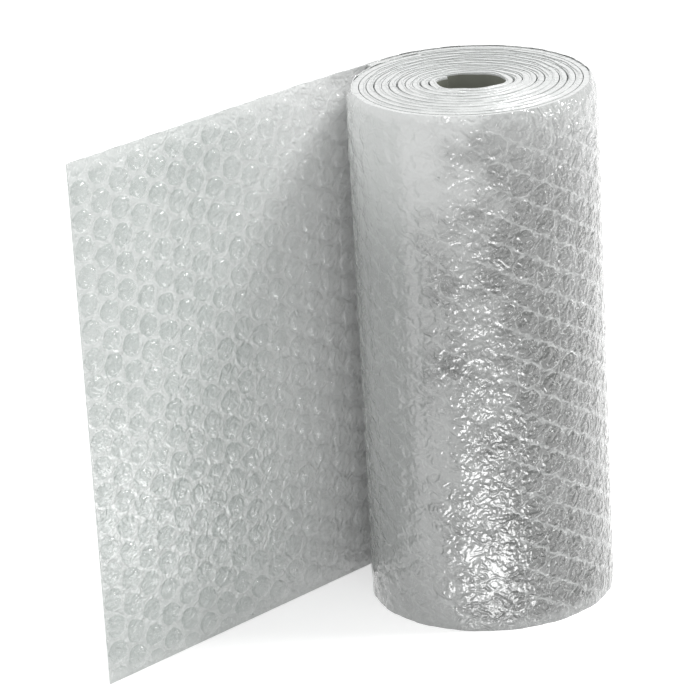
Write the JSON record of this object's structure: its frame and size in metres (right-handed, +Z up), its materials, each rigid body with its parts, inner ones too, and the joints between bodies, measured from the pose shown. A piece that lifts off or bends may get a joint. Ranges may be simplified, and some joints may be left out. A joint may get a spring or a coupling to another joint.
{
  "type": "bubble wrap roll",
  "caption": "Coreless roll of clear large-bubble cushioning film standing on its end, with a flat free tail unrolled from its outer turn.",
  "frame": {"origin": "the roll's axis at the surface the roll stands on, in the middle of the hole's lower end", "axes": "+Z up along the roll's axis; the tail leaves at the back left and runs to -X and -Y, 46 degrees round from -X; +X is the side away from the tail"},
  "size_m": [0.5627, 0.3796, 0.6],
  "materials": {
    "bubble_film": "clear glossy polyethylene film"
  },
  "bodies": {
    "root": {"bubble_wrap_roll": "bubble_film"}
  },
  "joints": []
}
